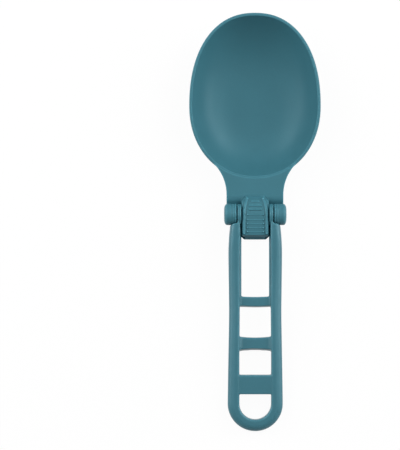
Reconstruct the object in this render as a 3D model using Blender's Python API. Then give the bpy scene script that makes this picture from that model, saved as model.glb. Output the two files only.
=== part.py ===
# Folding serving spoon: a bowl on a flat neck, a loop handle that folds over it, and a sliding lock.
#
# The pieces are drawn in a design frame under one empty. Its origin lies on the plane of the bowl's
# rim, below the fold axis: X runs across the spoon, Y towards the bowl's tip, Z out of the hollow
# side. The empty then tips the open spoon onto its bowl and the end of its handle, as it lies on a
# table. Every length is in metres.

from math import atan2, copysign, cos, hypot, pi, sin, sqrt

import bmesh
import bpy

# Bowl
BOWL_HALF_WIDTH = 0.0422
BOWL_WIDEST_Y = 0.0695
BOWL_TIP_REACH = 0.0598
BOWL_NECK_REACH = 0.0468
BOWL_DEPTH = 0.0200
BOWL_WALL = 0.0020
BOWL_FLOOR_Y = 0.0660
BOWL_TIP_POWER = 2.24
BOWL_NECK_POWER = 2.10
DISH_TIP_POWER = 3.5
DISH_SIDE_POWER = 4.6
DISH_NECK_POWER = 3.8
BOWL_STEPS = 64
RING_SHARES = (1.0, 0.96, 0.915, 0.86, 0.80, 0.73, 0.64, 0.53, 0.40, 0.22)

# Neck
NECK_HALF_WIDTH = 0.0182
NECK_THICKNESS = 0.0040
FLANK_START_Y = 0.0125
FLANK_RADIUS = 0.0283
FLANK_END_Y = 0.0325
NECK_ROOT_Y = 0.0310
FLANK_STEPS = 8

# Two ribs under the neck
RIB_INNER_X = 0.0136
RIB_WIDTH = 0.0024
RIB_ROOT_DEPTH = 0.0041
RIB_MIDDLE_DEPTH = 0.0074
RIB_BOWL_DEPTH = 0.0120
RIB_END_Y = 0.0400

# Sliding lock, outside
LOCK_HALF_WIDTH = 0.0085
LOCK_TOP_Y = 0.0120
LOCK_BOTTOM_Y = -0.0141
LOCK_TOP_HALF_WIDTH = 0.0058
LOCK_SHOULDER_Y = 0.0084
LOCK_HEIGHT = 0.0102
LOCK_TOP_DROP = 0.0078
LOCK_BOTTOM_DROP = 0.0009
LOCK_EDGE = 0.0008
LOCK_END_LENGTH = 0.0012
LOCK_END_DROP = 0.0016
LOCK_TRAVEL = 0.0090

# Thumb grip on the lock
RIDGE_WIDTH = 0.0012
RIDGE_HEIGHT = 0.0008
RIDGE_TOP_X = 0.0050
RIDGE_FLARE_X = 0.0074
RIDGE_TOP_Y = 0.0101
RIDGE_BOTTOM_Y = -0.0120
BAR_HEIGHT = 0.0004
BAR_WIDTH = 0.0009
BAR_FIRST_STEP = 0.00325
BAR_PITCH = 0.00257
BARS_ABOVE = 3
BARS_BELOW = 4
BAR_TOP_HALF_LENGTH = 0.0026
BAR_UPPER_HALF_LENGTH = 0.0042
BAR_HALF_LENGTH = 0.0056

# Rail that carries the lock, and its clearances
RAIL_HALF_WIDTH = 0.0066
RAIL_STEM_HALF_WIDTH = 0.0050
RAIL_HEIGHT = 0.0050
RAIL_LIP = 0.0017
RAIL_TOP_Y = 0.0050
SLIDE_GAP = 0.0003

# Nub on the lock that runs in a groove of the rail and ends the travel
NUB_HALF_WIDTH = 0.0013
NUB_LENGTH = 0.0016
NUB_HEIGHT = 0.0008
NUB_BOTTOM_Y = -0.0096
GROOVE_DEPTH = 0.0009

# Tongue and its foot, which carries the backs of the open arms
TONGUE_REACH = 0.0160
FOOT_HALF_WIDTH = 0.0115
FOOT_CHAMFER = 0.0040
RAMP_LENGTH = 0.0013
RAMP_TAPER = 0.0012
RAMP_LOW = 0.0003

# Ears and the arms' tips, from the lock outwards
TIP_SIDE_GAP = 0.0005
TIP_THICKNESS = 0.0027
TIP_RADIUS = 0.0067
TIP_END_GAP = 0.0005
ARM_SETBACK = 0.0002
EAR_SIDE_GAP = 0.00036
EAR_WIDTH = 0.00774
EAR_RADIUS = 0.0068
EAR_EDGE = 0.0004
EAR_DOME_LENGTH = 0.0018
EAR_DOME_RADIUS = 0.0035
EAR_OVERHANG = 0.0004
TRUNNION_RADIUS = 0.0026
TRUNNION_LENGTH = 0.0049
TRUNNION_CHAMFER = 0.0004
TRUNNION_GAP = 0.0003
ROUND_STEPS = 40

# Handle
HANDLE_REACH = 0.1381
HANDLE_THICKNESS = 0.0080
HINGE_THICKNESS = 0.0108
ARM_WIDTH = 0.0075
ARM_RELIEF = 0.0006
ARM_INNER_ROUND = 0.0010
ARM_OUTER_ROUND = 0.0030
HOLE_HALF_WIDTH = 0.0101
FOLD_GAP = 0.0004
LOOP_STEPS = 20
OUTER_ROUND_STEPS = 8
INNER_ROUND_STEPS = 2
# Along the arm, from the fold axis to the loop's centre: place, inner edge, width and thickness. The
# inner edge goes from the relief beside the lock (0) to the hanging hole's side (1), the thickness
# from the handle's (0) to the hinge's (1).
ARM_SHARES = (
    (0.0, 0.0, 0.840, 1.0),
    (0.061, 0.0, 0.867, 1.0),
    (0.116, 0.0, 0.947, 0.9),
    (0.19, 0.6, 0.960, 0.6),
    (0.30, 0.8, 0.933, 0.2),
    (0.43, 0.6, 0.920, 0.0),
    (0.53, 0.6, 0.907, 0.0),
    (0.73, 1.0, 0.933, 0.0),
    (0.88, 1.0, 0.973, 0.0),
)

# Flanges along the first window
FLANGE_WIDTH = 0.0013
FLANGE_FRONT = 0.0014
FLANGE_BACK = 0.0026
FLANGE_TOP_GAP = 0.0006

# Rungs and plate, measured down from the fold axis
RUNG_ONE_TOP = 0.0519
RUNG_ONE_WIDTH = 0.0068
RUNG_ONE_BOW = 0.0007
RUNG_TWO_TOP = 0.0774
RUNG_TWO_WIDTH = 0.0104
RUNG_TWO_WAIST = 0.0011
RUNG_FRONT = 0.0020
RUNG_BACK = 0.0030
PLATE_TOP = 0.1022
PLATE_WIDTH = 0.0122
PLATE_FRONT = 0.0038
PLATE_BACK = 0.0034
RUNG_ROOT_SHARE = 0.4
RUNG_STEPS = 8

# How far joined shapes run into each other, and cutters past what they cut
OVERLAP = 0.0010
OVERRUN = 0.0060

# Halvings of the range in which the tilt of the lying spoon is looked for
TILT_HALVINGS = 50

# Derived places
PIVOT_HEIGHT = HINGE_THICKNESS / 2 + FOLD_GAP
TIP_INNER_X = LOCK_HALF_WIDTH + TIP_SIDE_GAP
TIP_OUTER_X = TIP_INNER_X + TIP_THICKNESS
EAR_INNER_X = TIP_OUTER_X + EAR_SIDE_GAP
EAR_OUTER_X = EAR_INNER_X + EAR_WIDTH
ARM_TOP_INNER_X = TIP_INNER_X + ARM_RELIEF
LOOP_CENTRE_Y = HOLE_HALF_WIDTH + ARM_WIDTH - HANDLE_REACH
TRUNNION_END_X = TIP_OUTER_X + TRUNNION_LENGTH


def clear_scene():
    for item in list(bpy.data.objects):
        bpy.data.objects.remove(item, do_unlink=True)


def plastic(name, colour):
    material = bpy.data.materials.new(name)
    material.use_nodes = True
    shader = material.node_tree.nodes["Principled BSDF"]
    shader.inputs["Base Color"].default_value = (*colour, 1.0)
    shader.inputs["Roughness"].default_value = 0.5
    shader.inputs["Metallic"].default_value = 0.0
    material.diffuse_color = (*colour, 1.0)
    return material


def ring_solid(name, rings, parent):
    # A closed skin over rings of equal length, with a flat face on the first and the last.
    shape = bmesh.new()
    loops = [[shape.verts.new(point) for point in ring] for ring in rings]
    for near, far in zip(loops, loops[1:]):
        for index in range(len(near)):
            after = (index + 1) % len(near)
            shape.faces.new((near[index], near[after], far[after], far[index]))
    shape.faces.new(loops[0])
    shape.faces.new(loops[-1])
    bmesh.ops.recalc_face_normals(shape, faces=shape.faces)
    mesh = bpy.data.meshes.new(name)
    shape.to_mesh(mesh)
    shape.free()
    solid = bpy.data.objects.new(name, mesh)
    solid.parent = parent
    bpy.context.collection.objects.link(solid)
    return solid


def prism(name, outline, low, high, parent):
    # An outline of X and Y points, drawn out along Z.
    rings = [[(x, y, z) for x, y in outline] for z in (low, high)]
    return ring_solid(name, rings, parent)


def bar_along_y(name, section, start, end, parent):
    # A section of X and Z points, drawn out along Y.
    rings = [[(x, y, z) for x, z in section] for y in (start, end)]
    return ring_solid(name, rings, parent)


def turned(name, profile, height, parent):
    # A profile of X and radius points, turned about the line along X at this height.
    angles = [2 * pi * step / ROUND_STEPS for step in range(ROUND_STEPS)]
    rings = [[(x, r * cos(a), height + r * sin(a)) for a in angles] for x, r in profile]
    return ring_solid(name, rings, parent)


def mirrored(solid):
    # The same shape on the spoon's other side, as a second body.
    mirror = solid.modifiers.new("other side", "MIRROR")
    mirror.use_axis = (True, False, False)
    mirror.use_mirror_merge = False
    return solid


def combine(body, tool, operation):
    modifier = body.modifiers.new(tool.name, "BOOLEAN")
    modifier.object = tool
    modifier.operation = operation
    modifier.solver = "EXACT"
    tool.hide_render = True
    tool.display_type = "WIRE"


def both_sides(outline):
    # An outline given on the right from the centre line back to it, closed by its mirror image.
    left = [(-x, y) for x, y in reversed(outline) if x > 0]
    return list(outline) + left


def finish(solid, material):
    solid.data.materials.append(material)
    solid.data.shade_smooth()
    solid.data.set_sharp_from_angle(angle=pi / 6)
    return solid


def bowl_outline(inset):
    points = []
    for step in range(BOWL_STEPS):
        angle = 2 * pi * step / BOWL_STEPS
        upper = sin(angle) >= 0
        reach = BOWL_TIP_REACH if upper else BOWL_NECK_REACH
        power = BOWL_TIP_POWER if upper else BOWL_NECK_POWER
        across = abs(cos(angle)) ** (2 / power)
        along = abs(sin(angle)) ** (2 / power)
        x = copysign((BOWL_HALF_WIDTH - inset) * across, cos(angle))
        y = copysign((reach - inset) * along, sin(angle))
        points.append((x, BOWL_WIDEST_Y + y))
    return points


def dish_power(x, along):
    # The wall is steepest at the sides, less steep at the neck, and a long slope towards the tip.
    end_power = DISH_TIP_POWER if along > 0 else DISH_NECK_POWER
    side_share = x * x / (x * x + along * along)
    return side_share * DISH_SIDE_POWER + (1 - side_share) * end_power


def dish_ring(outline, share, depth):
    ring = []
    for x, y in outline:
        along = y - BOWL_FLOOR_Y
        drop = depth * (1 - share ** dish_power(x, along))
        ring.append((share * x, BOWL_FLOOR_Y + share * along, -drop))
    return ring


def dish_rings(inset, depth):
    outline = bowl_outline(inset)
    return [dish_ring(outline, share, depth) for share in RING_SHARES]


def cavity(parent):
    rings = dish_rings(BOWL_WALL, BOWL_DEPTH)
    lid = [(x, y, OVERRUN) for x, y, z in rings[0]]
    return ring_solid("bowl_cavity", [lid] + rings, parent)


def neck_outline():
    # From the bowl along the concave flank and round the ear's seat to the foot under the arms.
    outline = [(0, NECK_ROOT_Y)]
    for step in range(FLANK_STEPS + 1):
        y = FLANK_END_Y + (FLANK_START_Y - FLANK_END_Y) * step / FLANK_STEPS
        fall = y - FLANK_START_Y
        bulge = FLANK_RADIUS - sqrt(FLANK_RADIUS ** 2 - fall ** 2)
        outline.append((NECK_HALF_WIDTH + bulge, y))
    seat_y = EAR_OVERHANG - EAR_RADIUS
    outline += [
        (NECK_HALF_WIDTH, seat_y),
        (FOOT_HALF_WIDTH, seat_y),
        (FOOT_HALF_WIDTH, FOOT_CHAMFER - TONGUE_REACH),
        (RAIL_HALF_WIDTH + SLIDE_GAP, -TONGUE_REACH),
        (0, -TONGUE_REACH),
    ]
    return both_sides(outline)


def neck_ribs(parent):
    # Depth of a rib below the rim plane, from the ears to the bowl's underside.
    edge = (
        (-EAR_RADIUS / 2, RIB_ROOT_DEPTH),
        (FLANK_START_Y, RIB_MIDDLE_DEPTH),
        (RIB_END_Y, RIB_BOWL_DEPTH),
    )
    rings = []
    for y, depth in edge:
        outer_x = RIB_INNER_X + RIB_WIDTH
        top = OVERLAP - NECK_THICKNESS
        low = -max(depth, NECK_THICKNESS)
        section = [(RIB_INNER_X, top), (outer_x, top), (outer_x, low), (RIB_INNER_X, low)]
        rings.append([(x, y, z) for x, z in section])
    return mirrored(ring_solid("neck_ribs", rings, parent))


def rail(parent):
    # T-shaped: a stem on the tongue and a wider lip.
    lip = RAIL_HEIGHT - RAIL_LIP
    right = [
        (RAIL_STEM_HALF_WIDTH, -OVERLAP),
        (RAIL_STEM_HALF_WIDTH, lip),
        (RAIL_HALF_WIDTH, lip),
        (RAIL_HALF_WIDTH, RAIL_HEIGHT),
    ]
    section = right + [(-x, z) for x, z in reversed(right)]
    return bar_along_y("lock_rail", section, RAMP_LENGTH - TONGUE_REACH, RAIL_TOP_Y, parent)


def rail_stop(parent):
    # A block below the closed lock that ends in a steep ramp, drawn in towards its foot.
    rings = []
    for y, half, top in (
        (LOCK_BOTTOM_Y - SLIDE_GAP, RAIL_HALF_WIDTH, RAIL_HEIGHT),
        (RAMP_LENGTH - TONGUE_REACH, RAIL_HALF_WIDTH, RAIL_HEIGHT),
        (-TONGUE_REACH, RAIL_HALF_WIDTH - RAMP_TAPER, RAMP_LOW),
    ):
        rings.append([(-half, y, -OVERLAP), (half, y, -OVERLAP), (half, y, top), (-half, y, top)])
    return ring_solid("rail_stop", rings, parent)


def ears(parent):
    dome_start = EAR_OUTER_X - EAR_DOME_LENGTH
    rim = EAR_RADIUS - EAR_DOME_RADIUS
    profile = [
        (EAR_INNER_X, EAR_RADIUS - EAR_EDGE),
        (EAR_INNER_X + EAR_EDGE, EAR_RADIUS),
        (dome_start, EAR_RADIUS),
        (dome_start + EAR_DOME_LENGTH * sin(pi / 6), EAR_DOME_RADIUS + rim * cos(pi / 6)),
        (dome_start + EAR_DOME_LENGTH * sin(pi / 3), EAR_DOME_RADIUS + rim * cos(pi / 3)),
        (EAR_OUTER_X, EAR_DOME_RADIUS),
    ]
    return mirrored(turned("ears", profile, PIVOT_HEIGHT, parent))


def ear_bores(parent):
    radius = TRUNNION_RADIUS + TRUNNION_GAP
    profile = [
        (EAR_INNER_X - OVERRUN / 2, radius),
        (TRUNNION_END_X + TRUNNION_GAP, radius),
    ]
    return mirrored(turned("ear_bores", profile, PIVOT_HEIGHT, parent))


def tip_pockets(parent):
    # Round hollows in the neck in which the arms' tips turn.
    radius = TIP_RADIUS + TIP_END_GAP
    profile = [(LOCK_HALF_WIDTH, radius), (EAR_INNER_X, radius)]
    return mirrored(turned("tip_pockets", profile, PIVOT_HEIGHT, parent))


def nub_groove(parent):
    low = RAIL_HEIGHT - GROOVE_DEPTH
    side = NUB_HALF_WIDTH + SLIDE_GAP
    section = [(-side, low), (side, low), (side, low + OVERRUN), (-side, low + OVERRUN)]
    start = NUB_BOTTOM_Y - SLIDE_GAP
    end = NUB_BOTTOM_Y + NUB_LENGTH + LOCK_TRAVEL + SLIDE_GAP
    return bar_along_y("nub_groove", section, start, end, parent)


def spoon_head(parent, material):
    head = ring_solid("spoon_head", dish_rings(0, BOWL_DEPTH + BOWL_WALL), parent)
    plate = prism("neck_plate", neck_outline(), -NECK_THICKNESS, 0, parent)
    combine(head, plate, "UNION")
    combine(head, neck_ribs(parent), "UNION")
    combine(head, rail(parent), "UNION")
    combine(head, rail_stop(parent), "UNION")
    combine(head, cavity(parent), "DIFFERENCE")
    combine(head, tip_pockets(parent), "DIFFERENCE")
    combine(head, ears(parent), "UNION")
    combine(head, ear_bores(parent), "DIFFERENCE")
    combine(head, nub_groove(parent), "DIFFERENCE")
    return finish(head, material)


def arc(centre_u, centre_z, radii, start, end, steps):
    # A part of an ellipse.
    radius_u, radius_z = radii
    angles = [start + (end - start) * step / steps for step in range(steps + 1)]
    return [(centre_u + radius_u * cos(a), centre_z + radius_z * sin(a)) for a in angles]


def arm_section(inner, outer, half):
    # Flat towards the window and round on the outside.
    near = inner + ARM_INNER_ROUND
    level = half - ARM_INNER_ROUND
    small = (ARM_INNER_ROUND, ARM_INNER_ROUND)
    front = arc(near, level, small, pi, pi / 2, INNER_ROUND_STEPS)
    side = arc(outer - ARM_OUTER_ROUND, 0, (ARM_OUTER_ROUND, half), pi / 2, -pi / 2, OUTER_ROUND_STEPS)
    back = arc(near, -level, small, -pi / 2, -pi, INNER_ROUND_STEPS)
    return front + side + back


def handle_rings():
    # Stations down the right arm, round the loop and up the left arm.
    arm = []
    for place, inner_share, width_share, thickness_share in ARM_SHARES:
        inner = ARM_TOP_INNER_X + inner_share * (HOLE_HALF_WIDTH - ARM_TOP_INNER_X)
        thickness = HANDLE_THICKNESS + thickness_share * (HINGE_THICKNESS - HANDLE_THICKNESS)
        section = arm_section(inner, inner + width_share * ARM_WIDTH, thickness / 2)
        arm.append((place * LOOP_CENTRE_Y, section))
    loop = arm_section(HOLE_HALF_WIDTH, HOLE_HALF_WIDTH + ARM_WIDTH, HANDLE_THICKNESS / 2)
    stations = [(y, 0, section) for y, section in arm]
    stations += [(LOOP_CENTRE_Y, -pi * step / LOOP_STEPS, loop) for step in range(LOOP_STEPS + 1)]
    stations += [(y, pi, section) for y, section in reversed(arm)]
    rings = []
    for y, angle, section in stations:
        rings.append([(u * cos(angle), y + u * sin(angle), z) for u, z in section])
    return rings


def ear_clearance(parent):
    # What the ear needs in the arm at every angle of the fold.
    radius = EAR_RADIUS + EAR_SIDE_GAP
    profile = [(TIP_OUTER_X - ARM_SETBACK, radius), (EAR_OUTER_X + OVERRUN, radius)]
    return mirrored(turned("ear_clearance", profile, 0, parent))


def arm_tips(parent):
    profile = [(TIP_INNER_X, TIP_RADIUS), (TIP_OUTER_X, TIP_RADIUS)]
    return mirrored(turned("arm_tips", profile, 0, parent))


def trunnions(parent):
    profile = [
        (TIP_OUTER_X - OVERLAP, TRUNNION_RADIUS),
        (TRUNNION_END_X - TRUNNION_CHAMFER, TRUNNION_RADIUS),
        (TRUNNION_END_X, TRUNNION_RADIUS - TRUNNION_CHAMFER),
    ]
    return mirrored(turned("trunnions", profile, 0, parent))


def root_x(inner):
    # Where a shape that spans the window ends, inside the arm.
    return inner + RUNG_ROOT_SHARE * ARM_WIDTH


def flanges(parent):
    # They narrow the first window and start below the foot, along its chamfer.
    rail_end_x = RAIL_HALF_WIDTH + SLIDE_GAP
    slope = FOOT_CHAMFER / (FOOT_HALF_WIDTH - rail_end_x)
    inner = HOLE_HALF_WIDTH - FLANGE_WIDTH
    outer = root_x(ARM_TOP_INNER_X)
    gap = FLANGE_TOP_GAP * hypot(1, slope)
    outline = [
        (inner, slope * (inner - rail_end_x) - TONGUE_REACH - gap),
        (outer, slope * (outer - rail_end_x) - TONGUE_REACH - gap),
        (outer, -RUNG_ONE_TOP - RUNG_ONE_WIDTH / 2),
        (inner, -RUNG_ONE_TOP - RUNG_ONE_WIDTH / 2),
    ]
    return mirrored(prism("flanges", outline, -FLANGE_BACK, FLANGE_FRONT, parent))


def rung(name, top, width, top_sag, bottom_sag, parent):
    # Its edges are arcs between the arms. A sag moves an edge's middle towards the handle's end.
    half = root_x(HOLE_HALF_WIDTH)
    places = [2 * step / RUNG_STEPS - 1 for step in range(RUNG_STEPS + 1)]
    upper = [(half * p, -top - top_sag * (1 - p * p)) for p in places]
    lower = [(half * p, -top - width - bottom_sag * (1 - p * p)) for p in reversed(places)]
    return prism(name, upper + lower, -RUNG_BACK, RUNG_FRONT, parent)


def name_plate(parent):
    half = root_x(HOLE_HALF_WIDTH)
    low = -PLATE_TOP - PLATE_WIDTH
    outline = [(-half, -PLATE_TOP), (half, -PLATE_TOP), (half, low), (-half, low)]
    return prism("plate", outline, -PLATE_BACK, PLATE_FRONT, parent)


def handle(parent, material):
    body = ring_solid("handle", handle_rings(), parent)
    combine(body, ear_clearance(parent), "DIFFERENCE")
    combine(body, arm_tips(parent), "UNION")
    combine(body, trunnions(parent), "UNION")
    combine(body, flanges(parent), "UNION")
    bow = RUNG_ONE_BOW
    waist = RUNG_TWO_WAIST
    combine(body, rung("rung_one", RUNG_ONE_TOP, RUNG_ONE_WIDTH, bow, bow, parent), "UNION")
    combine(body, rung("rung_two", RUNG_TWO_TOP, RUNG_TWO_WIDTH, waist, -waist, parent), "UNION")
    combine(body, name_plate(parent), "UNION")
    return finish(body, material)


def lock_top(y):
    # Height of the thumb face: highest over the fold axis and lower towards both ends.
    if y > 0:
        return LOCK_HEIGHT - LOCK_TOP_DROP * (y / LOCK_TOP_Y) ** 2
    return LOCK_HEIGHT - LOCK_BOTTOM_DROP * (y / LOCK_BOTTOM_Y) ** 2


def lock_half_width(y):
    if y <= LOCK_SHOULDER_Y:
        return LOCK_HALF_WIDTH
    share = (y - LOCK_SHOULDER_Y) / (LOCK_TOP_Y - LOCK_SHOULDER_Y)
    return LOCK_HALF_WIDTH + share * (LOCK_TOP_HALF_WIDTH - LOCK_HALF_WIDTH)


def lock_body(parent):
    # The thumb face, with a slope at the handle's end and a small edge at the other.
    end_drops = {LOCK_BOTTOM_Y: LOCK_END_DROP, LOCK_TOP_Y: LOCK_EDGE}
    slopes = [LOCK_BOTTOM_Y + LOCK_END_LENGTH, LOCK_TOP_Y - LOCK_EDGE]
    between = [LOCK_BOTTOM_Y / 2, 0, LOCK_SHOULDER_Y / 2, LOCK_SHOULDER_Y]
    rings = []
    for y in sorted(list(end_drops) + slopes + between):
        half = lock_half_width(y)
        top = lock_top(y) - end_drops.get(y, 0)
        right = [(half, SLIDE_GAP), (half, top - LOCK_EDGE), (half - LOCK_EDGE, top)]
        left = [(-x, z) for x, z in reversed(right)]
        rings.append([(x, y, z) for x, z in right + left])
    return ring_solid("slide_lock", rings, parent)


def rail_slot(parent):
    # The rail's section grown by the sliding gap, open towards the handle.
    stem = RAIL_STEM_HALF_WIDTH + SLIDE_GAP
    lip = RAIL_HALF_WIDTH + SLIDE_GAP
    lip_low = RAIL_HEIGHT - RAIL_LIP - SLIDE_GAP
    right = [
        (stem, -OVERRUN),
        (stem, lip_low),
        (lip, lip_low),
        (lip, RAIL_HEIGHT + SLIDE_GAP),
    ]
    section = right + [(-x, z) for x, z in reversed(right)]
    return bar_along_y("rail_slot", section, LOCK_BOTTOM_Y - OVERRUN, RAIL_TOP_Y + SLIDE_GAP, parent)


def nub(parent):
    low = RAIL_HEIGHT + SLIDE_GAP - NUB_HEIGHT
    high = RAIL_HEIGHT + SLIDE_GAP + OVERLAP
    section = [
        (-NUB_HALF_WIDTH, low),
        (NUB_HALF_WIDTH, low),
        (NUB_HALF_WIDTH, high),
        (-NUB_HALF_WIDTH, high),
    ]
    return bar_along_y("nub", section, NUB_BOTTOM_Y, NUB_BOTTOM_Y + NUB_LENGTH, parent)


def side_ridges(parent):
    # One raised line down each side of the thumb face, drawn in towards the top.
    rings = []
    for y, x in (
        (RIDGE_BOTTOM_Y, RIDGE_FLARE_X),
        (0, RIDGE_FLARE_X),
        (RIDGE_TOP_Y / 2, (RIDGE_FLARE_X + RIDGE_TOP_X) / 2 + RIDGE_WIDTH / 4),
        (RIDGE_TOP_Y, RIDGE_TOP_X),
    ):
        low = lock_top(y) - OVERLAP
        high = lock_top(y) + RIDGE_HEIGHT
        foot = RIDGE_WIDTH / 2
        crest = RIDGE_WIDTH / 4
        rings.append([(x - foot, y, low), (x + foot, y, low), (x + crest, y, high), (x - crest, y, high)])
    return mirrored(ring_solid("side_ridges", rings, parent))


def grip_bar(index, parent):
    # Bars are counted from the one over the fold axis: above it positive, below it negative.
    steps = abs(index)
    reach = 0 if steps == 0 else BAR_FIRST_STEP + (steps - 1) * BAR_PITCH
    y = copysign(reach, index)
    half = BAR_HALF_LENGTH
    if index > 0:
        half = BAR_TOP_HALF_LENGTH if index == BARS_ABOVE else BAR_UPPER_HALF_LENGTH
    rings = []
    for x in (-half, half):
        low = lock_top(y) - OVERLAP
        high = lock_top(y) + BAR_HEIGHT
        foot = BAR_WIDTH / 2
        crest = BAR_WIDTH / 4
        rings.append([(x, y - foot, low), (x, y + foot, low), (x, y + crest, high), (x, y - crest, high)])
    return ring_solid(f"grip_bar_{index + BARS_BELOW}", rings, parent)


def slide_lock(parent, material):
    lock = lock_body(parent)
    combine(lock, rail_slot(parent), "DIFFERENCE")
    combine(lock, nub(parent), "UNION")
    combine(lock, side_ridges(parent), "UNION")
    for index in range(-BARS_BELOW, BARS_ABOVE + 1):
        combine(lock, grip_bar(index, parent), "UNION")
    return finish(lock, material)


def lowest(points, tilt):
    return min(y * sin(tilt) + z * cos(tilt) for x, y, z in points)


def rest_pose():
    # The tilt at which the bowl's underside and the end of the handle touch the table together.
    bowl = [point for ring in dish_rings(0, BOWL_DEPTH + BOWL_WALL) for point in ring]
    grip = [(x, y, z + PIVOT_HEIGHT) for ring in handle_rings() for x, y, z in ring]
    low_tilt = 0
    high_tilt = atan2(BOWL_DEPTH, BOWL_WIDEST_Y)
    for _ in range(TILT_HALVINGS):
        tilt = (low_tilt + high_tilt) / 2
        if lowest(grip, tilt) > lowest(bowl, tilt):
            low_tilt = tilt
        else:
            high_tilt = tilt
    turned_ys = [y * cos(tilt) - z * sin(tilt) for x, y, z in bowl + grip]
    middle = (min(turned_ys) + max(turned_ys)) / 2
    return tilt, -middle, -lowest(bowl, tilt)


def empty(name, parent, location):
    holder = bpy.data.objects.new(name, None)
    holder.parent = parent
    holder.location = location
    bpy.context.collection.objects.link(holder)
    return holder


def main():
    clear_scene()
    tilt, shift, lift = rest_pose()
    rest = empty("rest_pose", None, (0, shift, lift))
    rest.rotation_euler.x = tilt
    fold_axis = empty("fold_axis", rest, (0, 0, PIVOT_HEIGHT))
    spoon_head(rest, plastic("head_plastic", (0.058, 0.168, 0.215)))
    handle(fold_axis, plastic("handle_plastic", (0.052, 0.150, 0.195)))
    slide_lock(rest, plastic("lock_plastic", (0.056, 0.160, 0.205)))
    bpy.context.view_layer.update()


main()
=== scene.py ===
from math import atan2, copysign, cos, hypot, pi, radians, sin, sqrt

import bmesh
import bpy
import numpy as np
from mathutils import Matrix, Vector


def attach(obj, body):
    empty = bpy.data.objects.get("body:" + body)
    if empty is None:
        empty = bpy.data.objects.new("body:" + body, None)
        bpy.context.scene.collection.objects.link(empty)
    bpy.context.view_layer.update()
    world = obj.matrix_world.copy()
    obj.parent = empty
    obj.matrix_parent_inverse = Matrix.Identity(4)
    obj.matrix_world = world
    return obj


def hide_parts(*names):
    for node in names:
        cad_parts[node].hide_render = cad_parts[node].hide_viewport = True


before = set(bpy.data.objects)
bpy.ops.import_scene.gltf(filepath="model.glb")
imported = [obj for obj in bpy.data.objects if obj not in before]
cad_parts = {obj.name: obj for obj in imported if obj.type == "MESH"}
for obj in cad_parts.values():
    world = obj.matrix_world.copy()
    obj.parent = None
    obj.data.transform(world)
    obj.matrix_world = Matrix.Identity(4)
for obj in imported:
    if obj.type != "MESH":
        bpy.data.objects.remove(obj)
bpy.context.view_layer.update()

mm = 0.001
# how the spoon lies, on its bowl and on the end of its handle
lying = {"tilt": radians(7.1713716), "shift": 4.7276 * mm, "lift": 15.0796 * mm}
foldHeight = 5.8 * mm   # of the fold axis over the rim
overlap = 1 * mm        # how far a shape runs on past the surface where it is joined or cut
nearBy = 0.1 * mm       # corners this close to a place count as there


# small helpers for working by operator

def pickOnly(obj):
    if bpy.context.mode != "OBJECT":
        bpy.ops.object.mode_set(mode="OBJECT")
    bpy.ops.object.select_all(action="DESELECT")
    obj.select_set(True)
    bpy.context.view_layer.objects.active = obj


def editOn(obj, kind):
    pickOnly(obj)
    bpy.ops.object.mode_set(mode="EDIT")
    bpy.ops.mesh.select_mode(type=kind)


def editOff():
    bpy.ops.mesh.select_all(action="SELECT")
    bpy.ops.mesh.normals_make_consistent(inside=False)
    bpy.ops.object.mode_set(mode="OBJECT")


def chooseWhere(obj, kind, test):
    # selects each corner, edge or face that passes the test, which gets its corners' places
    bpy.ops.mesh.select_mode(type=kind)
    bpy.ops.mesh.select_all(action="DESELECT")
    mesh = bmesh.from_edit_mesh(obj.data)
    parts = {"VERT": mesh.verts, "EDGE": mesh.edges, "FACE": mesh.faces}[kind]
    for part in parts:
        corners = [part.co] if kind == "VERT" else [corner.co for corner in part.verts]
        if test(corners):
            part.select_set(True)
    mesh.select_flush_mode()
    bmesh.update_edit_mesh(obj.data)


def moveCorners(obj, place, onlySelected=False):
    # place gives the new position of a corner
    mesh = bmesh.from_edit_mesh(obj.data)
    for corner in mesh.verts:
        if corner.select or not onlySelected:
            corner.co = place(corner.co)
    bmesh.update_edit_mesh(obj.data)


def useModifier(obj, kind, **values):
    pickOnly(obj)
    bpy.ops.object.modifier_add(type=kind)
    modifier = obj.modifiers[-1]
    for key, value in values.items():
        setattr(modifier, key, value)
    bpy.ops.object.modifier_apply(modifier=modifier.name)


def joinWith(obj, tool, how="UNION"):
    useModifier(obj, "BOOLEAN", object=tool, operation=how, solver="EXACT")
    bpy.data.objects.remove(tool, do_unlink=True)


def bothSides(obj):
    useModifier(obj, "MIRROR", use_axis=(True, False, False), use_mirror_merge=False)
    return obj


def block(name, low, high):
    middle = [(a + b) / 2 for a, b in zip(low, high)]
    bpy.ops.mesh.primitive_cube_add(size=1, location=middle)
    shape = bpy.context.object
    shape.name = name
    shape.scale = [b - a for a, b in zip(low, high)]
    bpy.ops.object.transform_apply(location=True, rotation=True, scale=True)
    return shape


def slab(name, outline, low, high):
    # a many-cornered disc whose corners are set on the outline, then extruded upwards
    bpy.ops.mesh.primitive_circle_add(vertices=len(outline), radius=1, fill_type="NGON")
    shape = bpy.context.object
    shape.name = name
    editOn(shape, "FACE")
    mesh = bmesh.from_edit_mesh(shape.data)
    for corner, (x, y) in zip(list(mesh.verts), outline):
        corner.co = (x, y, low)
    bmesh.update_edit_mesh(shape.data)
    bpy.ops.mesh.select_all(action="SELECT")
    bpy.ops.mesh.extrude_region_move(TRANSFORM_OT_translate={"value": (0, 0, high - low)})
    editOff()
    return shape


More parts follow.
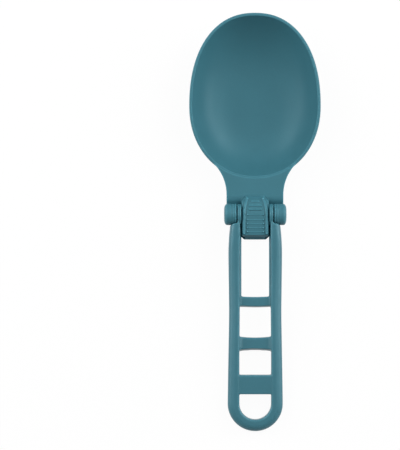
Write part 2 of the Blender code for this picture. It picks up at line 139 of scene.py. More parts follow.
def turned(name, profile, height, corners=240):
    # a disc across the fold axis, extruded along it and widened from place to place
    start, radius = profile[0]
    bpy.ops.mesh.primitive_circle_add(vertices=corners, radius=radius, fill_type="NGON",
                                      location=(start, 0, height), rotation=(0, pi / 2, 0))
    shape = bpy.context.object
    shape.name = name
    bpy.ops.object.transform_apply(location=True, rotation=True, scale=True)
    editOn(shape, "FACE")
    bpy.ops.mesh.select_all(action="SELECT")
    for (x, r), (nextX, nextR) in zip(profile, profile[1:]):
        bpy.ops.mesh.extrude_region_move(TRANSFORM_OT_translate={"value": (nextX - x, 0, 0)})
        if nextR != r:
            bpy.ops.transform.resize(value=(1, nextR / r, nextR / r),
                                     center_override=(nextX, 0, height))
    editOff()
    return shape


def drawnOut(name, sections):
    # a disc across the spoon, set on the first section and extruded from each one to the next;
    # edit mode stays on, with the last section selected
    firstY, outline = sections[0]
    bpy.ops.mesh.primitive_circle_add(vertices=len(outline), radius=1, fill_type="NGON")
    shape = bpy.context.object
    shape.name = name
    editOn(shape, "FACE")
    mesh = bmesh.from_edit_mesh(shape.data)
    for corner, (x, z) in zip(list(mesh.verts), outline):
        corner.co = (x, firstY, z)
    bmesh.update_edit_mesh(shape.data)
    bpy.ops.mesh.select_all(action="SELECT")
    for (y, here), (nextY, there) in zip(sections, sections[1:]):
        bpy.ops.mesh.extrude_region_move(TRANSFORM_OT_translate={"value": (0, nextY - y, 0)})

        def onNext(co):
            nearest = min(range(len(here)),
                          key=lambda k: hypot(here[k][0] - co.x, here[k][1] - co.z))
            x, z = there[nearest]
            return Vector((x, nextY, z))

        moveCorners(shape, onNext, onlySelected=True)
    return shape


skin = {
    "softening": 0.5,            # how far a smoothing round moves each corner
    "paintedLightRounds": 5,             # how far the painted edge highlight and hollow shade is evened out over the surface
    "shortestEdge": 0.05 * mm,   # shorter edges count as this long
    "hollowShade": 0.5,           # painted shade in hollows is weaker than the painted highlight on edges
}


def mouldedSkin(obj, grain, rounds):
    # one even skin with the soft edges and corners of a moulding
    useModifier(obj, "REMESH", mode="VOXEL", voxel_size=grain, adaptivity=0)
    useModifier(obj, "SMOOTH", factor=skin["softening"], iterations=rounds)
    pickOnly(obj)
    bpy.ops.object.shade_smooth()
    print(obj.name, "has", len(obj.data.polygons), "faces")


def paintEdgeLightHollowShade(obj, share):
    # how sharply the surface bends at each corner, per mm: edges above nought, hollows below; the
    # finish turns this into a painted highlight on edges and painted shade in hollows
    mesh = obj.data
    count = len(mesh.vertices)
    places, normals = np.empty(3 * count), np.empty(3 * count)
    mesh.vertices.foreach_get("co", places)
    mesh.vertices.foreach_get("normal", normals)
    ends = np.empty(2 * len(mesh.edges), dtype=np.int32)
    mesh.edges.foreach_get("vertices", ends)
    places, normals = places.reshape(-1, 3), normals.reshape(-1, 3)
    a, b = ends.reshape(-1, 2).T
    links = np.maximum(np.bincount(ends, minlength=count), 1)

    def atCorners(fromA, fromB):
        # the mean over the edges that meet at each corner
        return (np.bincount(a, fromA, count) + np.bincount(b, fromB, count)) / links

    step = places[a] - places[b]
    square = np.maximum((step ** 2).sum(axis=1), skin["shortestEdge"] ** 2)
    bend = atCorners((normals[a] * step).sum(axis=1) / square,
                     -(normals[b] * step).sum(axis=1) / square)
    for _ in range(skin["paintedLightRounds"]):
        bend = (bend + atCorners(bend[b], bend[a])) / 2
    bend = np.where(bend < 0, skin["hollowShade"] * bend, bend)
    paintedLight = mesh.attributes.new("paintedLight", "FLOAT", "POINT")
    paintedLight.data.foreach_set("value", (2 * share * bend * mm).astype(np.float32))


def layDown(obj, body, node, material, paintedLightShare=1):
    # from the spoon's own frame to its place on the table
    obj.data.transform(Matrix.Translation((0, lying["shift"], lying["lift"]))
                       @ Matrix.Rotation(lying["tilt"], 4, "X"))
    # edges get a painted highlight and hollows painted shade, as strong as the share given
    paintEdgeLightHollowShade(obj, paintedLightShare)
    obj.data.materials.clear()
    obj.data.materials.append(material)
    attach(obj, body)
    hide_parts(node)


# finish: satin nylon with a fine spark grain from the mould

nylon = {
    # colour, strength of the gloss and roughness
    "head": ((0.038, 0.141, 0.179), 0.34, (0.42, 0.50)),
    "handle": ((0.031, 0.126, 0.162), 0.55, (0.32, 0.39)),
    "lock": ((0.037, 0.139, 0.177), 0.40, (0.38, 0.46)),
    "refraction": 1.5,
    "sheen": (0.6, 0.9, 1.0),        # colour of the gloss
    "paintedLightBend": (-1.3, 1.3),         # for the painted shade and highlight: bend per mm in the sharpest hollows and on the sharpest edges
    "paintedLightBrightness": (0.3, 1.7),    # of the colour there: painted shade in hollows, painted highlight on edges
    "shadeSpread": 0.10,             # how far the colour drifts over the surface
    "speck": (0.95, 1.05),           # brightness of the grain's dark and light specks
    "noiseRange": (0.3, 0.7),        # where most of a noise lies
    "grainScale": 2600, "grainDetail": 3,    # scales are per metre
    "cloudScale": 75, "cloudDetail": 4,
    "grainHeight": 0.02 * mm, "grainStrength": 0.6,
}


def satinNylon(name, colour, gloss, roughness):
    material = bpy.data.materials.new(name)
    material.use_nodes = True
    nodes, links = material.node_tree.nodes, material.node_tree.links
    shader = nodes["Principled BSDF"]
    shader.inputs["IOR"].default_value = nylon["refraction"]
    shader.inputs["Specular IOR Level"].default_value = gloss
    shader.inputs["Specular Tint"].default_value = (*nylon["sheen"], 1)
    place = nodes.new("ShaderNodeTexCoord")

    def noise(scale, detail):
        node = nodes.new("ShaderNodeTexNoise")
        node.inputs["Scale"].default_value = scale
        node.inputs["Detail"].default_value = detail
        links.new(place.outputs["Object"], node.inputs["Vector"])
        return node.outputs["Fac"]

    def spreadOut(source, comes, goes):
        # turns the range that comes in into the one that goes out
        node = nodes.new("ShaderNodeMapRange")
        node.inputs["From Min"].default_value, node.inputs["From Max"].default_value = comes
        node.inputs["To Min"].default_value, node.inputs["To Max"].default_value = goes
        links.new(source, node.inputs["Value"])
        return node.outputs["Result"]

    grain = noise(nylon["grainScale"], nylon["grainDetail"])
    cloud = noise(nylon["cloudScale"], nylon["cloudDetail"])

    tone = nodes.new("ShaderNodeMix")
    tone.data_type = "RGBA"
    spread = nylon["shadeSpread"]
    tone.inputs[6].default_value = (*[c * (1 - spread / 2) for c in colour], 1)
    tone.inputs[7].default_value = (*[c * (1 + spread / 2) for c in colour], 1)
    links.new(cloud, tone.inputs[0])

    # specks and the painted edge highlight and hollow shade brighten and darken the colour
    # together
    bend = nodes.new("ShaderNodeAttribute")
    bend.attribute_name = "paintedLight"
    both = nodes.new("ShaderNodeMath")
    both.operation = "MULTIPLY"
    links.new(spreadOut(grain, nylon["noiseRange"], nylon["speck"]), both.inputs[0])
    links.new(spreadOut(bend.outputs["Fac"], nylon["paintedLightBend"], nylon["paintedLightBrightness"]),
              both.inputs[1])
    tint = nodes.new("ShaderNodeVectorMath")
    tint.operation = "SCALE"
    links.new(tone.outputs[2], tint.inputs[0])
    links.new(both.outputs[0], tint.inputs["Scale"])
    links.new(tint.outputs["Vector"], shader.inputs["Base Color"])
    links.new(spreadOut(cloud, nylon["noiseRange"], roughness), shader.inputs["Roughness"])

    bump = nodes.new("ShaderNodeBump")
    bump.inputs["Strength"].default_value = nylon["grainStrength"]
    bump.inputs["Distance"].default_value = nylon["grainHeight"]
    links.new(grain, bump.inputs["Height"])
    links.new(bump.outputs["Normal"], shader.inputs["Normal"])
    return material


headNylon = satinNylon("head_nylon", *nylon["head"])
handleNylon = satinNylon("handle_nylon", *nylon["handle"])
lockNylon = satinNylon("lock_nylon", *nylon["lock"])


# bowl

bowlSizes = {
    "halfWidth": 42.2 * mm, "widestY": 69.5 * mm, "tipReach": 59.8 * mm, "neckReach": 46.8 * mm,
    "tipPower": 2.24, "neckPower": 2.10,
    "depth": 20 * mm, "wall": 1.9 * mm, "floorY": 66 * mm,
    "dishTip": 3.9, "dishSide": 4.6, "dishNeck": 3.8,
    # the rim from its outer edge to its inner one, in steps across and up in mm
    "rimInset": 0.06 * mm,
    "rim": ((0.06, 0.2), (0.14, 0.2), (0.3, 0.2), (0.45, 0.1), (0.5, 0.03), (0.25, -0.02),
            (0.2, -0.12), (0.1, -0.23)),
    "corners": 128, "rings": 26, "ringPower": 0.8,
}


def eggPoint(angle, inset):
    b = bowlSizes
    upper = sin(angle) >= 0
    reach = b["tipReach"] if upper else b["neckReach"]
    power = b["tipPower"] if upper else b["neckPower"]
    x = copysign(abs(cos(angle)) ** (2 / power), cos(angle)) * (b["halfWidth"] - inset)
    y = copysign(abs(sin(angle)) ** (2 / power), sin(angle)) * (reach - inset)
    return x, b["widestY"] + y


def eggDisc(name, inset, height):
    bpy.ops.mesh.primitive_circle_add(vertices=bowlSizes["corners"], radius=1, fill_type="NGON")
    shape = bpy.context.object
    shape.name = name
    editOn(shape, "FACE")
    moveCorners(shape, lambda co: Vector((*eggPoint(atan2(co.y, co.x), inset), height)))
    bpy.ops.mesh.select_all(action="SELECT")
    return shape


def dishPower(x, along):
    # steepest at the sides, less so at the neck, and a long slope towards the tip
    b = bowlSizes
    endPower = b["dishTip"] if along > 0 else b["dishNeck"]
    side = x * x / (x * x + along * along)
    return side * b["dishSide"] + (1 - side) * endPower


def sinkRings(shape, top, depth, extrude):
    # the selected edge is drawn in towards the floor, ring by ring, and closed there
    b = bowlSizes
    floor = (0, b["floorY"], 0)
    share = 1

    def sunk(co):
        fall = 1 - share ** dishPower(co.x, co.y - b["floorY"])
        return Vector((co.x, co.y, top - (depth + top) * fall))

    def atFloor(corners):
        x, y, z = corners[0]
        return hypot(x, y - b["floorY"]) < nearBy and z < -depth / 2

    for ring in range(1, b["rings"] + 1):
        nextShare = cos(pi / 2 * ring / (b["rings"] + 1)) ** b["ringPower"]
        extrude()
        bpy.ops.transform.resize(value=(nextShare / share, nextShare / share, 1),
                                 center_override=floor)
        share = nextShare
        moveCorners(shape, sunk, onlySelected=True)
    extrude()
    bpy.ops.mesh.merge(type="CENTER")
    chooseWhere(shape, "VERT", atFloor)
    moveCorners(shape, lambda co: Vector((0, b["floorY"], -depth)), onlySelected=True)


def makeBowl():
    b = bowlSizes
    start = -sum(up for across, up in b["rim"] if up > 0) * mm
    bowl = eggDisc("bowl_shell", b["rimInset"], start)
    for across, up in b["rim"]:
        bpy.ops.mesh.inset(thickness=across * mm, depth=up * mm)
    inner = start + sum(up for across, up in b["rim"]) * mm
    sinkRings(bowl, inner, b["depth"], lambda: bpy.ops.mesh.extrude_region_move())
    # the underside, from the outline that is still open
    chooseWhere(bowl, "EDGE", lambda corners: False)
    bpy.ops.mesh.select_non_manifold()
    sinkRings(bowl, start, b["depth"] + b["wall"], lambda: bpy.ops.mesh.extrude_edges_move())
    editOff()
    useModifier(bowl, "SUBSURF", levels=1, render_levels=1)
    pickOnly(bowl)
    bpy.ops.object.shade_smooth()
    print("bowl_shell has", len(bowl.data.polygons), "faces")
    return bowl


bowl = makeBowl()


# neck: plate with concave flanks, two ribs below, the rail for the slider and the two ears

neckSizes = {
    "halfWidth": 18.2 * mm, "thickness": 4.0 * mm, "rise": 0.04 * mm,
    "flankStartY": 12.5 * mm, "flankEndY": 32.5 * mm, "flankRadius": 28.3 * mm,
    "flankLean": 2.6 * mm, "flankSteps": 24,
    "rootY": 40 * mm, "rootMargin": 10 * mm, "seatY": -6.4 * mm,
    "footHalfWidth": 11.5 * mm, "footChamfer": 4.0 * mm, "reach": 16.0 * mm,
    "ribInnerX": 13.6 * mm, "ribWidth": 2.4 * mm,
    # as place along the spoon and depth below the rim
    "ribDepths": ((-3.4 * mm, 4.1 * mm), (12.5 * mm, 7.4 * mm), (40 * mm, 12.0 * mm)),
    "wallShare": 0.5,        # how far the neck runs into the bowl's wall
    "hollowTop": 6 * mm,
    # how the plate rolls down in front of the ears, as place and drop in mm
    "rollOff": ((11.6, 0.0), (10.6, 0.05), (9.6, 0.2), (8.7, 0.45), (7.9, 0.8), (7.2, 1.2),
                (6.5, 1.6), (5.8, 1.9)),
    "grain": 0.27 * mm, "rounds": 6,
}
railSizes = {
    "halfWidth": 6.6 * mm, "stemHalfWidth": 5.0 * mm, "height": 5.0 * mm, "lip": 1.7 * mm,
    "stemInLip": 0.2 * mm, "footMargin": 0.3 * mm, "topY": 5.0 * mm, "stopY": -14.4 * mm,
    "ramp": 1.5 * mm, "rampTaper": 1.2 * mm, "rampLow": 3.0 * mm,
    "grooveHalfWidth": 1.6 * mm, "grooveLow": 4.1 * mm, "groove": (-9.9 * mm, 1.3 * mm),
}
earSizes = {
    "innerX": 12.06 * mm, "outerX": 19.8 * mm, "radius": 6.8 * mm, "edge": 0.4 * mm,
    # two fine lines turned into the ear, as places along it
    "lines": (13.3 * mm, 14.9 * mm), "lineWidth": 0.9 * mm, "lineDepth": 0.3 * mm,
    "dome": 1.8 * mm, "domeRadius": 3.5 * mm, "domeSteps": 8,
    "boreRadius": 2.9 * mm, "boreEndX": 16.9 * mm, "boreLead": 3 * mm,
    "pocketX": 8.5 * mm, "pocketRadius": 7.2 * mm,
}


def neckOutline():
    n, r = neckSizes, railSizes
    right = [(0, n["rootY"]), (n["ribInnerX"] + n["rootMargin"], n["rootY"])]
    for step in range(n["flankSteps"] + 1):
        y = n["flankEndY"] + (n["flankStartY"] - n["flankEndY"]) * step / n["flankSteps"]
        across = sqrt(n["flankRadius"] ** 2 - (y - n["flankStartY"]) ** 2)
        right.append((n["halfWidth"] + n["flankRadius"] - across, y))
    right += [(n["halfWidth"], n["seatY"]), (n["footHalfWidth"], n["seatY"]),
              (n["footHalfWidth"], n["footChamfer"] - n["reach"]),
              (r["halfWidth"] + r["footMargin"], -n["reach"]), (0, -n["reach"])]
    return right + [(-x, y) for x, y in reversed(right) if x > 0]


def addRibs(neck):
    # a block on each side whose underside is drawn down towards the bowl
    n = neckSizes
    startY, middleY, endY = [y for y, depth in n["ribDepths"]]
    rib = block("rib", (n["ribInnerX"], startY, -n["thickness"]),
                (n["ribInnerX"] + n["ribWidth"], endY, overlap - n["thickness"]))
    editOn(rib, "EDGE")
    bpy.ops.mesh.select_all(action="SELECT")
    bpy.ops.mesh.bisect(plane_co=(0, middleY, 0), plane_no=(0, 1, 0))

    def drawnDown(co):
        if co.z > overlap / 2 - n["thickness"]:
            return co
        y, depth = min(n["ribDepths"], key=lambda row: abs(row[0] - co.y))
        return Vector((co.x, co.y, -depth))

    moveCorners(rib, drawnDown)
    editOff()
    joinWith(neck, bothSides(rib))


def addRail(neck):
    # stem and wider lip, then a stop with a steep ramp at the handle's end
    n, r = neckSizes, railSizes
    rampY = r["ramp"] - n["reach"]
    lipLow = r["height"] - r["lip"]
    stem = block("stem", (-r["stemHalfWidth"], rampY, -overlap),
                 (r["stemHalfWidth"], r["topY"], lipLow + r["stemInLip"]))
    joinWith(neck, stem)
    lip = block("lip", (-r["halfWidth"], rampY, lipLow), (r["halfWidth"], r["topY"], r["height"]))
    joinWith(neck, lip)
    stop = block("stop", (-r["halfWidth"], -n["reach"], -overlap),
                 (r["halfWidth"], r["stopY"], r["height"]))
    editOn(stop, "EDGE")
    bpy.ops.mesh.select_all(action="SELECT")
    bpy.ops.mesh.bisect(plane_co=(0, rampY, 0), plane_no=(0, 1, 0))

    def ramped(co):
        if co.y > nearBy - n["reach"]:
            return co
        return Vector((copysign(r["halfWidth"] - r["rampTaper"], co.x), co.y,
                       min(co.z, r["rampLow"])))

    moveCorners(stop, ramped)
    editOff()
    joinWith(neck, stop)


def addEars(neck):
    # a small edge inside, two fine lines and a dome outside, with a blind bore
    e = earSizes
    profile = [(e["innerX"], e["radius"] - e["edge"]), (e["innerX"] + e["edge"], e["radius"])]
    half = e["lineWidth"] / 2
    for x in e["lines"]:
        profile += [(x - half, e["radius"]), (x, e["radius"] - e["lineDepth"]),
                    (x + half, e["radius"])]
    rim = e["radius"] - e["domeRadius"]
    for step in range(e["domeSteps"] + 1):
        angle = pi / 2 * step / e["domeSteps"]
        profile.append((e["outerX"] - e["dome"] * (1 - sin(angle)),
                        e["domeRadius"] + rim * cos(angle)))
    joinWith(neck, bothSides(turned("ear", profile, foldHeight)))
    bore = turned("bore", [(e["innerX"] - e["boreLead"], e["boreRadius"]),
                           (e["boreEndX"], e["boreRadius"])], foldHeight)
    joinWith(neck, bothSides(bore), "DIFFERENCE")


def makeNeck():
    n, r, e, b = neckSizes, railSizes, earSizes, bowlSizes
    neck = slab("neck_with_ears", neckOutline(), -n["thickness"], n["rise"])

    # the flanks lean in below, to run into the bowl's wall
    def leaning(co):
        if co.z > 0 or abs(co.x) <= n["ribInnerX"]:
            return co
        share = (co.y - n["flankStartY"]) / (n["flankEndY"] - n["flankStartY"])
        lean = n["flankLean"] * min(max(share, 0), 1) ** 2
        return Vector((co.x - copysign(lean, co.x), co.y, co.z))

    editOn(neck, "VERT")
    moveCorners(neck, leaning)
    editOff()
    addRibs(neck)
    addRail(neck)

    # the inside of the bowl, grown by half its wall, ends the neck inside that wall
    halfWall = b["wall"] * n["wallShare"]
    hollow = eggDisc("hollow", halfWall, n["hollowTop"])
    bpy.ops.mesh.extrude_region_move(TRANSFORM_OT_translate={"value": (0, 0, -n["hollowTop"])})
    sinkRings(hollow, 0, b["depth"] + halfWall, lambda: bpy.ops.mesh.extrude_region_move())
    editOff()
    joinWith(neck, hollow, "DIFFERENCE")

    # the roll-off in front of the ears, and pockets for the arms' tips
    near, far = e["pocketX"], n["halfWidth"] + overlap
    roll = drawnOut("roll", [(y * mm, [(near, -drop * mm), (far, -drop * mm),
                                       (far, overlap), (near, overlap)])
                             for y, drop in n["rollOff"]])
    editOff()
    joinWith(neck, bothSides(roll), "DIFFERENCE")
    pocket = turned("pocket", [(e["pocketX"], e["pocketRadius"]),
                               (e["innerX"], e["pocketRadius"])], foldHeight)
    joinWith(neck, bothSides(pocket), "DIFFERENCE")
    addEars(neck)

    # the groove along the rail that ends the slider's travel
    groove = block("groove", (-r["grooveHalfWidth"], r["groove"][0], r["grooveLow"]),
                   (r["grooveHalfWidth"], r["groove"][1], r["height"] + overlap))
    joinWith(neck, groove, "DIFFERENCE")
    mouldedSkin(neck, n["grain"], n["rounds"])
    return neck


neck = makeNeck()


# handle: two D-shaped arms and their loop, with rungs, plate, flanges and hinge tips

handleSizes = {
    "thickness": 8.0 * mm, "armWidth": 7.5 * mm, "holeHalfWidth": 10.1 * mm,
    "loopY": -120.48 * mm, "hingeThickness": 10.8 * mm, "topInnerX": 9.6 * mm,
    "outerRound": 4.5 * mm, "hingeRound": 3.0 * mm, "outerSteps": 36,
    "innerRound": 1.0 * mm, "innerSteps": 4,
    # down the arm, as shares: place, inner edge, width and thickness
    "stationShares": ((0.0, 0.0, 0.840, 1.0), (0.061, 0.0, 0.867, 1.0), (0.116, 0.0, 0.947, 0.9),
                      (0.19, 0.6, 0.960, 0.6), (0.30, 0.8, 0.933, 0.2), (0.43, 0.6, 0.920, 0.0),
                      (0.53, 0.6, 0.907, 0.0), (0.73, 1.0, 0.933, 0.0), (0.88, 1.0, 0.973, 0.0),
                      (1.0, 1.0, 1.0, 0.0)),
    "stationsBetween": 4, "loopSteps": 32, "mergeWithin": 0.01 * mm,
    "intoArm": 3 * mm,       # how far what crosses the handle runs into the arms
    "grain": 0.36 * mm, "rounds": 8,
}
tipSizes = {
    "innerX": 9.0 * mm, "outerX": 11.4 * mm, "radius": 6.7 * mm,
    "trunnionRadius": 2.6 * mm, "trunnionEndX": 16.6 * mm, "trunnionChamfer": 0.4 * mm,
    "earGap": 0.36 * mm, "earRoom": 6 * mm,
    # what is cut away beside the ear, down to a blunt, slanted shoulder, in mm
    "shoulder": ((11.4, -5.3), (16.8, -6.4), (26.8, -6.4), (26.8, 20), (11.4, 20)),
}
rungSizes = {
    "heights": (-3.0 * mm, 2.0 * mm), "cuts": 31,
    "riseStart": 8.0, "riseLength": 2.1,     # where the front rises towards the arms, in mm
    # top edge, width in front and behind, sag of the upper and of the lower edge, rise
    "rungs": ({"name": "rung_one", "top": 51.9 * mm, "front": 5.7 * mm, "back": 6.8 * mm,
               "upperSag": 0.7 * mm, "lowerSag": 0.7 * mm, "rise": 0.7 * mm},
              {"name": "rung_two", "top": 77.4 * mm, "front": 9.0 * mm, "back": 10.4 * mm,
               "upperSag": 1.1 * mm, "lowerSag": -1.1 * mm, "rise": 1.5 * mm}),
}
plateSizes = {
    "top": 102.2 * mm, "width": 12.2 * mm, "heights": (-3.4 * mm, 3.8 * mm),
    "round": 0.5 * mm, "roundSteps": 3,
}
flangeSizes = {"innerX": 8.8 * mm, "heights": (-2.6 * mm, 1.4 * mm), "overFoot": 0.25 * mm}


def bow(middleX, middleZ, acrossX, acrossZ, start, end, steps):
    angles = [start + (end - start) * step / steps for step in range(steps + 1)]
    return [(middleX + acrossX * cos(angle), middleZ + acrossZ * sin(angle)) for angle in angles]


def armSection(inner, outer, half, large):
    # flat towards the window, with an elliptical outer side
    h = handleSizes
    small = h["innerRound"]
    return (bow(inner + small, half - small, small, small, pi, pi / 2, h["innerSteps"])
            + bow(outer - large, 0, large, half, pi / 2, -pi / 2, h["outerSteps"])
            + bow(inner + small, small - half, small, small, -pi / 2, -pi, h["innerSteps"]))


def smoothShares(table, extra):
    # extra rows between the given ones, on a soft curve through them
    rows = []
    last = len(table) - 1
    for k in range(last):
        here, there = table[k], table[k + 1]
        before, after = table[max(k - 1, 0)], table[min(k + 2, last)]
        for step in range(extra + 1):
            t = step / (extra + 1)
            row = [0.5 * (2 * a + (b - p) * t + (2 * p - 5 * a + 4 * b - q) * t ** 2
                          + (3 * a - p - 3 * b + q) * t ** 3)
                   for p, a, b, q in zip(before, here, there, after)]
            row[0] = here[0] + (there[0] - here[0]) * t
            rows.append(row)
    return rows + [table[last]]


def makeArms():
    h = handleSizes
    sections = []
    for place, inner, width, thickness in smoothShares(h["stationShares"], h["stationsBetween"]):
        left = h["topInnerX"] + inner * (h["holeHalfWidth"] - h["topInnerX"])
        right = left + width * h["armWidth"]
        half = (h["thickness"] + thickness * (h["hingeThickness"] - h["thickness"])) / 2
        large = h["outerRound"] + thickness * (h["hingeRound"] - h["outerRound"])
        sections.append((place * h["loopY"], armSection(left, right, half, large)))
    arm = drawnOut("handle_loop", sections)
    bpy.ops.mesh.spin(steps=h["loopSteps"], angle=pi / 2, center=(0, h["loopY"], 0),
                      axis=(0, 0, 1))
    bpy.ops.mesh.delete(type="FACE")
    editOff()
    useModifier(arm, "MIRROR", use_axis=(True, False, False), merge_threshold=h["mergeWithin"])
    return arm


def makeRung(sizes):
    r = rungSizes
    low, high = r["heights"]
    half = handleSizes["holeHalfWidth"] + handleSizes["intoArm"]
    rung = block(sizes["name"], (-half, -sizes["top"] - sizes["back"], low),
                 (half, -sizes["top"], high))
    editOn(rung, "EDGE")
    chooseWhere(rung, "EDGE", lambda c: abs(c[0].x - c[1].x) > half)
    bpy.ops.mesh.subdivide(number_cuts=r["cuts"])

    def shaped(co):
        share = 1 - (co.x / half) ** 2
        climb = min(max(abs(co.x) / mm - r["riseStart"], 0) / r["riseLength"], 1)
        z = co.z + climb ** 2 * sizes["rise"] if co.z > 0 else co.z
        if co.y > -sizes["top"] - nearBy:
            return Vector((co.x, -sizes["top"] - share * sizes["upperSag"], z))
        width = sizes["front"] if co.z > 0 else sizes["back"]
        return Vector((co.x, -sizes["top"] - width - share * sizes["lowerSag"], z))

    moveCorners(rung, shaped)
    editOff()
    return rung


def makePlate():
    p = plateSizes
    low, high = p["heights"]
    half = handleSizes["holeHalfWidth"] + handleSizes["intoArm"]
    plate = block("plate", (-half, -p["top"] - p["width"], low), (half, -p["top"], high))
    editOn(plate, "EDGE")
    chooseWhere(plate, "EDGE", lambda c: abs(c[0].x - c[1].x) > half)
    bpy.ops.mesh.bevel(offset=p["round"], segments=p["roundSteps"])
    editOff()
    return plate


def flangeOutline():
    # along the first window, cut slantwise along the foot's chamfer
    f, n, r = flangeSizes, neckSizes, railSizes
    first = rungSizes["rungs"][0]
    railEnd = r["halfWidth"] + r["footMargin"]
    footSlope = n["footChamfer"] / (n["footHalfWidth"] - railEnd)
    outer = handleSizes["topInnerX"] + handleSizes["intoArm"]
    low = -first["top"] - first["back"] / 2

    def topAt(x):
        return footSlope * (x - railEnd) - n["reach"] + f["overFoot"] * hypot(1, footSlope)

    return [(f["innerX"], topAt(f["innerX"])), (outer, topAt(outer)), (outer, low),
            (f["innerX"], low)]


def makeHandle():
    h, t, e = handleSizes, tipSizes, earSizes
    handle = makeArms()

    # room for the ear to turn in, and the shoulder below it
    reach = e["radius"] + t["earGap"]
    room = turned("ear_room", [(t["outerX"], reach), (e["outerX"] + t["earRoom"], reach)], 0)
    joinWith(handle, bothSides(room), "DIFFERENCE")
    shoulder = slab("shoulder", [(x * mm, y * mm) for x, y in t["shoulder"]],
                    -h["hingeThickness"], h["hingeThickness"])
    joinWith(handle, bothSides(shoulder), "DIFFERENCE")

    # the tip that turns beside the ear, and the trunnion that goes into it
    tip = turned("tip", [(t["innerX"], t["radius"]), (t["outerX"], t["radius"])], 0)
    joinWith(handle, bothSides(tip))
    end, radius, chamfer = t["trunnionEndX"], t["trunnionRadius"], t["trunnionChamfer"]
    trunnion = turned("trunnion", [(t["outerX"] - overlap, radius), (end - chamfer, radius),
                                   (end, radius - chamfer)], 0)
    joinWith(handle, bothSides(trunnion))

    joinWith(handle, bothSides(slab("flange", flangeOutline(), *flangeSizes["heights"])))
    for sizes in rungSizes["rungs"]:
        joinWith(handle, makeRung(sizes))
    joinWith(handle, makePlate())
    mouldedSkin(handle, h["grain"], h["rounds"])
    handle.data.transform(Matrix.Translation((0, 0, foldHeight)))
    return handle


handle = makeHandle()


# thumb slider: body on the rail, side ridges and eight cross bars

lockSizes = {
    "halfWidth": 8.5 * mm, "topY": 12.0 * mm, "bottomY": -14.1 * mm, "topHalfWidth": 5.8 * mm,
    "shoulderY": 8.4 * mm, "height": 10.2 * mm, "topDrop": 7.8 * mm, "bottomDrop": 0.9 * mm,
    "endLength": 1.2 * mm, "endDrop": 1.6 * mm, "topRound": 0.8 * mm, "corner": 1.2 * mm,
    # the side's upper edge, from below: how far in from the side and how far down, in mm
    "sideEdge": ((0.0, 0.35), (0.06, 0.12), (0.2, 0.0)),
    "slideGap": 0.3 * mm, "slotRoom": 6 * mm, "stations": 66,
    "nub": ((-1.3 * mm, -9.6 * mm, 4.5 * mm), (1.3 * mm, -8.0 * mm, 6.3 * mm)),
    "grain": 0.16 * mm, "rounds": 3,
}
gripSizes = {
    # where the side ridge's crest runs, from the handle's end upwards, in mm
    "crestPath": ((-14.1, 7.25), (0.0, 7.25), (3.4, 7.0), (7.6, 6.05), (10.1, 5.1), (12.0, 4.7)),
    "crestMargin": 1.25 * mm,      # of the crest from the side
    # across the ridge: distance from the crest in mm and share of its height
    "ridgeShape": ((1.0, 0.0), (0.85, 0.5), (0.5, 0.9), (0.0, 1.0)),
    "ridgeHeight": 0.95 * mm, "ridgeEnds": (-12.3 * mm, 10.5 * mm),
    # how it comes up at its ends: share of the fade and share of its height
    "fade": 0.6 * mm, "fadeShape": ((0, 0), (0.35, 0.75), (0.7, 1), (1, 1)),
    # drop from the face to the side's edge, and more of it where the ridge stands alone, in mm
    "edgeDrop": 0.45, "aloneDrop": 0.3, "alone": ((1.0, 0.0), (7.0, 1.0)),
    # knobs at the ridge's ends, as place along and across in mm
    "knobs": ((-12.0, 7.2), (10.1, 5.1)), "knobRadius": 0.75 * mm, "knobRise": 0.55 * mm,
    "barWidth": 1.0 * mm, "barHeight": 0.65 * mm, "lowBarHeight": 0.14 * mm,
    "barRound": 0.3 * mm, "roundSteps": 3, "corners": 24,
    "firstStep": 3.25 * mm, "pitch": 2.57 * mm, "dotRadius": 0.5 * mm, "dotRise": 0.04 * mm,
    # bars above and below the middle one, and half the length of the top one, of the other
    # upper ones and of the rest
    "above": 3, "below": 4, "topHalf": 2.6 * mm, "upperHalf": 4.2 * mm, "half": 5.6 * mm,
}


def between(places, at):
    # the value on a broken line of places and values
    for (near, value), (far, other) in zip(places, places[1:]):
        if at <= far:
            return value + (other - value) * max(0, at - near) / (far - near)
    return places[-1][1]


def quarterRound(past, radius):
    # how far a rounded end has fallen away at this depth past its start
    share = min(max(past / radius, 0), 1)
    return radius * (1 - sqrt(1 - share * share))


def thumbFace(y):
    # height of the face under the thumb
    s = lockSizes
    if y > 0:
        return s["height"] - s["topDrop"] * (y / s["topY"]) ** 2
    slope = max(0, s["bottomY"] + s["endLength"] - y) / s["endLength"]
    return s["height"] - s["bottomDrop"] * (y / s["bottomY"]) ** 2 - s["endDrop"] * slope


def lockSection(y):
    s, g = lockSizes, gripSizes
    side = between(((s["shoulderY"], s["halfWidth"]), (s["topY"], s["topHalfWidth"])), y)
    side -= quarterRound(s["bottomY"] + s["corner"] - y, s["corner"])
    face = thumbFace(y) - quarterRound(y - s["topY"] + s["topRound"], s["topRound"])
    edge = face - (g["edgeDrop"] + g["aloneDrop"] * between(g["alone"], y / mm)) * mm
    crest = min(between(g["crestPath"], y / mm) * mm, side - g["crestMargin"])
    low, high = g["ridgeEnds"]
    inside = min(y - low, high - y) / g["fade"] if low < y < high else 0
    rise = g["ridgeHeight"] * between(g["fadeShape"], inside)
    right = [(side, s["slideGap"])]
    right += [(side - across * mm, edge - down * mm) for across, down in s["sideEdge"]]
    right += [(crest + away * mm, face + share * rise) for away, share in g["ridgeShape"]]
    right += [(crest - away * mm, face + share * rise)
              for away, share in reversed(g["ridgeShape"][:-1])]
    return right + [(-x, z) for x, z in reversed(right)]


def makeKnob(name, radius, x, y, z):
    corners = gripSizes["corners"]
    bpy.ops.mesh.primitive_uv_sphere_add(segments=corners, ring_count=corners // 2,
                                         radius=radius, location=(x, y, z))
    knob = bpy.context.object
    knob.name = name
    bpy.ops.object.transform_apply(location=True, rotation=True, scale=True)
    return bothSides(knob)


